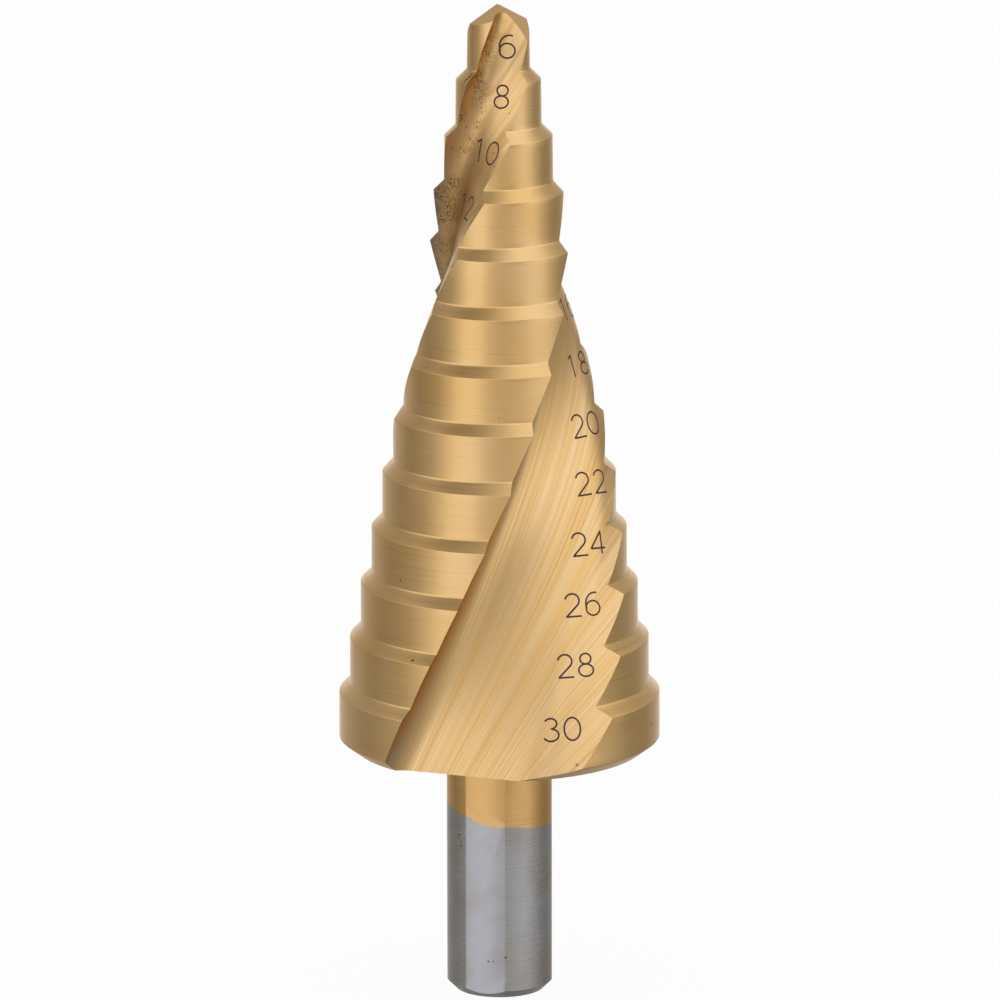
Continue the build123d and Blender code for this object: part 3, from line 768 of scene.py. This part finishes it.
def bareSteel():
    # ground steel left bare: cool grey, rings on the round, arcs on the flats, brown stains and small pits
    material, tree, surface = newMaterial("groundBareSteel")
    place = addNode(tree, "ShaderNodeTexCoord").outputs["Object"]
    lines, onFlat = shankMarks(tree)
    # brown stains about 5 mm wide
    cloud = addNode(tree, "ShaderNodeTexNoise", {"Vector": place, "Scale": 210.0, "Detail": 4.0}).outputs[0]
    cloud = addNode(tree, "ShaderNodeMapRange", {0: cloud, 1: 0.45, 2: 0.75, 4: 0.7}).outputs[0]
    lined = addNode(tree, "ShaderNodeMapRange", {0: lines, 1: 0.5, 2: 0.2, 4: 0.5}).outputs[0]
    pits = addNode(tree, "ShaderNodeMath", {
        0: speckles(tree, place, *steel["pits"]), 1: chips(tree, place, steel["chips"])},
        operation="MAXIMUM").outputs[0]
    tint = addNode(tree, "ShaderNodeMix", {0: onFlat, 6: colour(steel["round"]), 7: colour(steel["flat"])},
                   data_type="RGBA").outputs[2]
    for share, shade in ((cloud, "stain"), (lined, "line"), (pits, "pit")):
        tint = addNode(tree, "ShaderNodeMix", {0: share, 6: tint, 7: colour(steel[shade])},
                       data_type="RGBA").outputs[2]
    rough = addNode(tree, "ShaderNodeMapRange", {0: lines, 1: 0.25, 2: 0.75, 3: 0.26, 4: 0.38}).outputs[0]
    bump = addNode(tree, "ShaderNodeBump", {
        "Strength": 1.0, "Distance": grinding["ringDepth"] * mm, "Height": lines}).outputs[0]
    dress(tree, surface, 1.0, tint, rough, bump)
    return material


burn = {"dark": "#4A343A", "blue": "#5E4652", "depth": 0.004}


def laserMark():
    # coat burnt by a laser: matt purple brown, bluer in patches under 1 mm wide
    material, tree, surface = newMaterial("laserBurntCoat")
    place = addNode(tree, "ShaderNodeTexCoord").outputs["Object"]
    patches = addNode(tree, "ShaderNodeTexNoise", {
        "Vector": place, "Scale": 1300.0, "Detail": 3.0}).outputs[0]
    bluer = addNode(tree, "ShaderNodeMapRange", {0: patches, 1: 0.35, 2: 0.65}).outputs[0]
    burnt = addNode(tree, "ShaderNodeMix", {0: bluer, 6: colour(burn["dark"]), 7: colour(burn["blue"])},
                    data_type="RGBA").outputs[2]
    rough = addNode(tree, "ShaderNodeMapRange", {0: patches, 1: 0.3, 2: 0.7, 3: 0.42, 4: 0.62}).outputs[0]
    bump = addNode(tree, "ShaderNodeBump", {
        "Strength": 0.5, "Distance": burn["depth"] * mm, "Height": patches}).outputs[0]
    dress(tree, surface, 0.5, burnt, rough, bump)
    return material


finishes = {"land": turnedCoat(), "flute": groundCoat(), "bare": bareSteel(), "mark": laserMark()}
print("finishes made")

profile = profilePoints()
profileLine = helperMesh("profileLine", [(r * mm, w, z * mm) for r, z, w in profile])
section = fluteTemplate()
sectionLine = helperMesh("sectionLine", [(x * mm, y * mm, s) for x, y, s in section])

# blocks that grind the point: one as wide as the drill, one on the far side of the lip only
side, gap = point["halfWidth"], point["splitGap"]
lip = radians(point["lipDirection"])
lipWay, backWay = Vector((sin(lip), -cos(lip))), Vector((-cos(lip), -sin(lip)))
wide = [(-side, -side), (side, -side), (side, side), (-side, side)]
lobe = [tuple(lipWay * a + backWay * b) for a, b in ((-side, gap), (-side, side), (side, side), (side, gap))]
if (Vector(lobe[1]) - Vector(lobe[0])).cross(Vector(lobe[2]) - Vector(lobe[1])) < 0:
    lobe = lobe[::-1]
firstTop, secondTop = (drill["tipZ"] + above for above in point["blockTops"])
firstFlank = prism("firstFlank", wide, flankPlane(point["firstFlankFall"], 0), firstTop)
secondPlane = flankPlane(point["secondFlankFall"], point["secondFlankRise"])
secondFlank = prism("secondFlank", lobe, secondPlane, secondTop)

# block that grinds a flat
slab, slabFoot = 8, -2
near, far = drill["flatDistance"], drill["flatDistance"] + slab
flatCorners = [(near, -slab), (far, -slab), (far, slab), (near, slab)]
flatSlab = prism("flatSlab", flatCorners, lambda x, y: slabFoot, backZ)
flatSlab.data.transform(Matrix.Rotation(radians(drill["flatDirection"] - 90), 4, "Z"))

coatEnd = {
    # lower edge of the coat round the shank: (degrees from +X, height)
    "line": [(-180, 18.9), (-150, 18.75), (-128, 18.15), (-113, 17.16), (-102, 16.8), (-78, 16.9),
             (-52, 16.42), (-27, 16.1), (0, 15.9), (60, 16.3), (120, 17.7), (180.1, 18.9)],
    "points": 96,
    "reach": 8,                 # radius of the block that takes the bare part
    "foot": -2,
    "middle": 16.2,             # height of its top on the axis
}


def coatHeight(turn):
    # height of the coat's lower edge, eased from one listed point to the next
    turn = (turn + 180) % 360 - 180
    here = max(i for i, stop in enumerate(coatEnd["line"]) if stop[0] <= turn)
    (start, low), (end, high) = coatEnd["line"][here:here + 2]
    share = (turn - start) / (end - start)
    return low + (high - low) * (3 - 2 * share) * share ** 2


count, reach, foot = coatEnd["points"], coatEnd["reach"] * mm, coatEnd["foot"] * mm
ring = [2 * pi * i / count for i in range(count)]
edgePoints = [(reach * cos(a), reach * sin(a), foot) for a in ring]
edgePoints += [(reach * cos(a), reach * sin(a), coatHeight(degrees(a)) * mm) for a in ring]
edgePoints += [(0, 0, foot), (0, 0, coatEnd["middle"] * mm)]
edgeFaces = []
for i in range(count):
    j = (i + 1) % count
    edgeFaces += [(i, j, count + j, count + i), (j, i, 2 * count), (count + i, count + j, 2 * count + 1)]
coatEdge = helperMesh("coatEdge", edgePoints, faces=edgeFaces)

helix = helixTree()
whole = drillTree(blankTree(helix), fluteTree(helix, crossingTree()), helix)
sweepHeight = drill["tipZ"] + flute["above"] - backZ + flute["below"]
values = {
    "Profile": profileLine, "Profile Rows": len(profile), "Section": sectionLine,
    "Section Rows": ceil(sweepHeight / flute["rowSpacing"]) + 2, "Section Columns": len(section),
    "First Flank": firstFlank, "Second Flank": secondFlank, "Flat": flatSlab, "Coat Edge": coatEdge,
    "Land Finish": finishes["land"], "Flute Finish": finishes["flute"], "Shank Finish": finishes["bare"],
}
pieces = {}
for name, bareOnly, slotName in (("coatedBody", False, "coated_steel"), ("bareShank", True, "bare_steel")):
    piece = grow(name, whole, dict(values, Bare=bareOnly))
    piece.data.shade_smooth()
    piece.data.set_sharp_from_angle(angle=radians(drill["sharpAngle"]))
    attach(piece, "root")
    pieces[name] = piece
    print(name, len(piece.data.polygons), "faces", [m.name for m in piece.data.materials])
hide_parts("step_drill")

numbers = {
    # step number: height, direction from the cutting edge, distance from the axis, way that its wall faces
    "places": {
        6: (89.3, 245.5, 1.35, 204.2), 8: (84.85, 242.4, 2.18, 207.9), 10: (79.85, 235.6, 2.99, 206.9),
        12: (74.75, 225.0, 3.83, 204.2), 14: (69.60, 65.0, 5.80, 26.0), 16: (64.29, 65.0, 6.72, 27.4),
        18: (59.37, 60.8, 7.33, 25.0), 20: (54.18, 59.7, 8.30, 28.5), 22: (49.14, 61.2, 9.44, 29.4),
        24: (43.93, 60.4, 10.38, 31.1), 26: (38.69, 60.7, 11.41, 36.0), 28: (33.42, 62.4, 12.54, 43.2),
        30: (27.87, 63.2, 13.59, 49.9)},
    "lift": 0.12,               # of every figure above its listed height
    "lean": 18.0,               # of the walls, up from level
    "height": 2.1,
    "advance": 0.93,            # from one figure to the next, as a share of the height
    "stroke": 0.18,
    "spacing": 0.11,            # of the points along a stroke
    "thickness": 0.02,
    "dropFrom": 3,              # the strokes fall on to the wall from here, this far at most
    "dropLength": 8,
}


def arc(x, y, wide, tall, start, end, count=16):
    # points of an elliptic arc in the unit square of a figure
    turns = [radians(start + (end - start) * i / count) for i in range(count + 1)]
    return [(x + wide * cos(t), y + tall * sin(t)) for t in turns]


figures = {
    "0": [arc(0, 0.5, 0.37, 0.5, 90, 450, 28)],
    "1": [[(-0.18, 0.84), (0.04, 1.0), (0.04, 0.0)]],
    "2": [arc(-0.02, 0.7, 0.31, 0.3, 165, -40) + [(-0.34, 0.0), (0.35, 0.0)]],
    "3": [arc(-0.03, 0.77, 0.27, 0.23, 150, -90) + arc(-0.03, 0.27, 0.34, 0.27, 90, -155)],
    "4": [[(0.16, 0.0), (0.16, 1.0), (-0.4, 0.26), (0.36, 0.26)]],
    "6": [arc(0, 0.32, 0.34, 0.32, 180, 540, 24), arc(0.1, 0.5, 0.44, 0.5, 203, 72, 14)],
    "8": [arc(0, 0.77, 0.26, 0.23, -90, 270, 22), arc(0, 0.27, 0.35, 0.27, 90, 450, 24)],
}


def numberLines():
    # centre lines of every figure, laid on a plane that faces its wall
    points, edges, facings = [], [], []
    for step, (z, direction, reach, facing) in numbers["places"].items():
        radius = drill["largestRadius"] - (z - lastCornerZ) * slope
        growing = (drill["largestRadius"] + flute["standOff"]) / (radius + flute["standOff"])
        cutting = log(growing) * tan(radians(flute["helixAngle"])) / slope
        cutting += radians(flute["cutDirection"] - 90)
        middle = Matrix.Rotation(cutting + radians(direction), 3, "Z") @ Vector((reach, 0, 0))
        middle += Vector((0, 0, z + numbers["lift"]))
        face = cutting + radians(facing)
        right = Vector((-sin(face), cos(face), 0))
        normal = Vector((cos(face), sin(face), tan(radians(numbers["lean"])))).normalized()
        up = normal.cross(right)
        for i, figure in enumerate(str(step)):
            shift = (i - (len(str(step)) - 1) / 2) * numbers["advance"]
            for line in figures[figure]:
                first = len(points)
                for x, y in line:
                    spot = right * (x + shift) + up * (y - 0.5)
                    points.append((middle + spot * numbers["height"]) * mm)
                    facings += list(normal)
                edges += [(k, k + 1) for k in range(first, len(points) - 1)]
    return helperMesh("numberLines", points, edges, facings=facings)


def numberTree():
    # strokes swept along the lines, dropped on to the wall and pressed flat
    tree, given, end = newTree("markedNumbers", {
        "Lines": ("Object", None), "Drill": ("Object", None), "Stroke": ("Float", numbers["stroke"] * mm),
        "Thickness": ("Float", numbers["thickness"] * mm), "Finish": ("Material", None)})
    lines = addNode(tree, "GeometryNodeObjectInfo", {"Object": given["Lines"]}).outputs["Geometry"]
    drillMesh = addNode(tree, "GeometryNodeObjectInfo", {"Object": given["Drill"]}).outputs["Geometry"]
    curve = addNode(tree, "GeometryNodeMeshToCurve", {"Mesh": lines}).outputs[0]
    curve = addNode(tree, "GeometryNodeResampleCurve", {"Curve": curve, "Length": numbers["spacing"] * mm},
                    mode="LENGTH").outputs[0]
    place = addNode(tree, "GeometryNodeInputPosition").outputs[0]
    curve = addNode(tree, "GeometryNodeStoreNamedAttribute", {
        "Geometry": curve, "Name": "centre", "Value": place},
        data_type="FLOAT_VECTOR", domain="POINT").outputs[0]
    half = addNode(tree, "ShaderNodeMath", {0: given["Stroke"], 1: 0.5}, operation="MULTIPLY").outputs[0]
    ring = addNode(tree, "GeometryNodeCurvePrimitiveCircle", {
        "Resolution": 6, "Radius": half}).outputs["Curve"]
    swept = addNode(tree, "GeometryNodeCurveToMesh", {
        "Curve": curve, "Profile Curve": ring, "Fill Caps": True}).outputs[0]
    centre, facing = (
        addNode(tree, "GeometryNodeInputNamedAttribute", {"Name": title}, data_type="FLOAT_VECTOR").outputs[0]
        for title in ("centre", "facing"))
    facing = addNode(tree, "ShaderNodeVectorMath", {0: facing}, operation="NORMALIZE").outputs[0]
    offset = addNode(tree, "ShaderNodeVectorMath", {0: place, 1: centre}, operation="SUBTRACT").outputs[0]
    rise = addNode(tree, "ShaderNodeVectorMath", {0: offset, 1: facing},
                   operation="DOT_PRODUCT").outputs["Value"]
    lifted = addNode(tree, "ShaderNodeVectorMath", {0: facing, "Scale": rise}, operation="SCALE").outputs[0]
    level = addNode(tree, "ShaderNodeVectorMath", {0: place, 1: lifted}, operation="SUBTRACT").outputs[0]
    above = addNode(tree, "ShaderNodeVectorMath", {0: facing, "Scale": numbers["dropFrom"] * mm},
                    operation="SCALE").outputs[0]
    start = addNode(tree, "ShaderNodeVectorMath", {0: level, 1: above}).outputs[0]
    down = addNode(tree, "ShaderNodeVectorMath", {0: facing, "Scale": -1.0}, operation="SCALE").outputs[0]
    hit = addNode(tree, "GeometryNodeRaycast", {
        "Target Geometry": drillMesh, "Source Position": start, "Ray Direction": down,
        "Ray Length": numbers["dropLength"] * mm}).outputs
    pressed = addNode(tree, "ShaderNodeMath", {0: given["Thickness"], 1: given["Stroke"]},
                      operation="DIVIDE").outputs[0]
    pressed = addNode(tree, "ShaderNodeMath", {0: rise, 1: pressed}, operation="MULTIPLY").outputs[0]
    pressed = addNode(tree, "ShaderNodeVectorMath", {0: facing, "Scale": pressed},
                      operation="SCALE").outputs[0]
    spot = addNode(tree, "ShaderNodeVectorMath", {0: hit["Hit Position"], 1: pressed}).outputs[0]
    spot = addNode(tree, "GeometryNodeSwitch", {"Switch": hit["Is Hit"], "False": place, "True": spot},
                   input_type="VECTOR").outputs[0]
    laid = addNode(tree, "GeometryNodeSetPosition", {"Geometry": swept, "Position": spot}).outputs[0]
    single = addNode(tree, "GeometryNodeRealizeInstances", {0: laid}).outputs[0]
    finished = addNode(tree, "GeometryNodeSetMaterial", {
        "Geometry": single, "Material": given["Finish"]}).outputs[0]
    tree.links.new(finished, end.inputs[0])
    return tree


stepLines = numberLines()
stepNumbers = grow("stepNumbers", numberTree(), {
    "Lines": stepLines, "Drill": pieces["coatedBody"], "Finish": finishes["mark"]})
stepNumbers.data.shade_smooth()
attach(stepNumbers, "root")
print("stepNumbers", len(stepNumbers.data.polygons), "faces")
for helper in (stepLines, profileLine, sectionLine, firstFlank, secondFlank, flatSlab, coatEdge):
    bpy.data.objects.remove(helper)

studio = {
    # brightness of the walls round the drill: (degrees from the front towards +X, level)
    "walls": [(-180, 1.0), (-168, 0.88), (-150, 0.46), (-112, 0.27), (-82, 0.36), (-64, 0.62), (-50, 1.0),
              (-30, 1.0), (-14, 0.62), (0, 0.55), (16, 0.62), (34, 0.8), (52, 0.88), (66, 0.82), (84, 0.48),
              (108, 0.28), (130, 0.30), (150, 0.46), (168, 0.88), (180, 1.0)],
    "middle": [(-180, 1.0), (-168, 0.88), (-150, 0.46), (-112, 0.27), (-82, 0.36), (-64, 0.62), (-50, 1.0),
               (-30, 0.95), (-14, 0.72), (0, 0.56), (12, 0.46), (24, 0.4), (34, 0.46), (46, 0.84), (58, 0.98),
               (72, 0.95), (90, 0.66), (108, 0.4), (130, 0.3), (150, 0.46), (168, 0.88), (180, 1.0)],
    "upper": [(-180, 0.55), (-150, 0.44), (-126, 0.3), (-106, 0.5), (-86, 0.88), (-60, 0.98), (-36, 0.9),
              (-22, 0.76), (-8, 0.74), (2, 0.84), (14, 0.96), (26, 1.0), (84, 1.0), (97, 0.84), (110, 0.6),
              (130, 0.42), (180, 0.55)],
    "lower": [(-180, 0.5), (-150, 0.36), (-110, 0.42), (-90, 0.44), (-70, 0.5), (-50, 0.56), (-30, 0.58),
              (-10, 0.54), (10, 0.5), (30, 0.46), (50, 0.42), (70, 0.4), (90, 0.35), (130, 0.28), (180, 0.5)],
    # brightness overhead: (from -1 at the left to 1 at the right, level)
    "overhead": [(-0.7, 0.25), (-0.5, 0.27), (-0.26, 0.35), (0.0, 0.6), (0.15, 0.82), (0.26, 0.98),
                 (0.55, 1.0), (0.9, 0.85)],
    "underneath": 0.28,
    # upward part of the direction where one band gives way to the next
    "middleFrom": (-0.19, -0.04),
    "upperFrom": (0.05, 0.25),
    "overheadFrom": (0.66, 0.88),
    "lowerFrom": (-0.24, -0.42),
    "underneathFrom": (-0.55, -0.85),
    "ambient": 0.75,            # even light on anything that is not a mirror
    "floorReach": 3,            # metres
    "floor": "#F4F4F4",
}

reach = studio["floorReach"]
floorMesh = bpy.data.meshes.new("studioFloor")
floorMesh.from_pydata([(-reach, -reach, 0), (reach, -reach, 0), (reach, reach, 0), (-reach, reach, 0)], [],
                      [(0, 1, 2, 3)])
floor = bpy.data.objects.new("studioFloor", floorMesh)
bpy.context.scene.collection.objects.link(floor)
floor.location.z = -0.02 * mm
# white paper that keeps only a trace of the drill's shadow
paper, tree, surface = newMaterial("whitePaper")
surface.inputs["Base Color"].default_value = colour(studio["floor"])
surface.inputs["Roughness"].default_value = 0.9
glow = addNode(tree, "ShaderNodeEmission", {"Color": (1, 1, 1, 1), "Strength": 1.0}).outputs[0]
rays = addNode(tree, "ShaderNodeLightPath").outputs
lit = addNode(tree, "ShaderNodeMath", {0: rays["Is Camera Ray"], 1: 0.95}, operation="MULTIPLY").outputs[0]
shown = addNode(tree, "ShaderNodeMixShader", {0: lit, 1: surface.outputs[0], 2: glow}).outputs[0]
tree.links.new(shown, tree.nodes["Material Output"].inputs["Surface"])
floorMesh.materials.append(paper)
floor.visible_glossy = False    # the steel mirrors the studio walls all the way down


def fillRamp(ramp, stops, low, high):
    # fills a colour ramp with grey levels, a little warm where they are dark
    ramp.interpolation = "EASE"
    for i, (place, level) in enumerate(stops):
        spot = (place - low) / (high - low)
        stop = ramp.elements[i] if i < 2 else ramp.elements.new(spot)
        stop.position = spot
    for stop, (place, level) in zip(sorted(ramp.elements, key=lambda element: element.position), stops):
        stop.color = (level, level * (0.93 + 0.07 * level), level * (0.79 + 0.21 * level), 1)


world = bpy.data.worlds.new("studio")
world.use_nodes = True
bpy.context.scene.world = world
tree = world.node_tree
way = addNode(tree, "ShaderNodeTexCoord").outputs["Generated"]
parts = addNode(tree, "ShaderNodeSeparateXYZ", {0: way}).outputs
front = addNode(tree, "ShaderNodeMath", {0: parts[1], 1: -1.0}, operation="MULTIPLY").outputs[0]
turn = addNode(tree, "ShaderNodeMath", {0: parts[0], 1: front}, operation="ARCTAN2").outputs[0]
turn = addNode(tree, "ShaderNodeMapRange", {0: turn, 1: -pi, 2: pi}).outputs[0]
across = addNode(tree, "ShaderNodeMapRange", {0: parts[0], 1: -1.0, 2: 1.0}).outputs[0]
bands = {}
for name in ("walls", "middle", "upper", "overhead", "lower"):
    place, low, high = (across, -1, 1) if name == "overhead" else (turn, -180, 180)
    band = addNode(tree, "ShaderNodeValToRGB", {0: place})
    fillRamp(band.color_ramp, studio[name], low, high)
    bands[name] = band.outputs[0]
bands["underneath"] = (studio["underneath"],) * 3 + (1,)
room = bands["walls"]
for name in ("middle", "upper", "overhead", "lower", "underneath"):
    low, high = studio[name + "From"]
    share = addNode(tree, "ShaderNodeMapRange", {0: parts[2], 1: low, 2: high},
                    interpolation_type="SMOOTHSTEP").outputs[0]
    room = addNode(tree, "ShaderNodeMix", {0: share, 6: room, 7: bands[name]}, data_type="RGBA").outputs[2]
# mirrors see the room, everything else gets even light, and the camera sees plain white
rays = addNode(tree, "ShaderNodeLightPath").outputs
mirror = addNode(tree, "ShaderNodeMath", {0: rays["Is Glossy Ray"], 1: rays["Is Transmission Ray"]},
                 operation="MAXIMUM").outputs[0]
even = (studio["ambient"],) * 3 + (1,)
soft = addNode(tree, "ShaderNodeMix", {0: mirror, 6: even, 7: room}, data_type="RGBA").outputs[2]
seen = addNode(tree, "ShaderNodeMix", {0: rays["Is Camera Ray"], 6: soft, 7: (1, 1, 1, 1)},
               data_type="RGBA").outputs[2]
tree.links.new(seen, tree.nodes["Background"].inputs[0])

view = {
    # millimetres and degrees
    "eye": (0.08, -778.63, 230.34),
    "target": (0.08, 0, 46.675),
    "roll": -0.098,
    "lens": 311.4,
    "sensor": 36,
    "clip": (50, 20000),
}

cameraData = bpy.data.cameras.new("camera")
camera = bpy.data.objects.new("camera", cameraData)
bpy.context.scene.collection.objects.link(camera)
cameraData.sensor_width = view["sensor"]
cameraData.lens = view["lens"]
cameraData.clip_start, cameraData.clip_end = (distance * mm for distance in view["clip"])
eye, target = Vector(view["eye"]) * mm, Vector(view["target"]) * mm
camera.location = eye
camera.rotation_euler = (target - eye).to_track_quat("-Z", "Y").to_euler()
camera.rotation_euler.rotate_axis("Z", radians(view["roll"]))
bpy.context.scene.camera = camera
bpy.context.scene.view_settings.view_transform = "Standard"
print("studio and camera set")
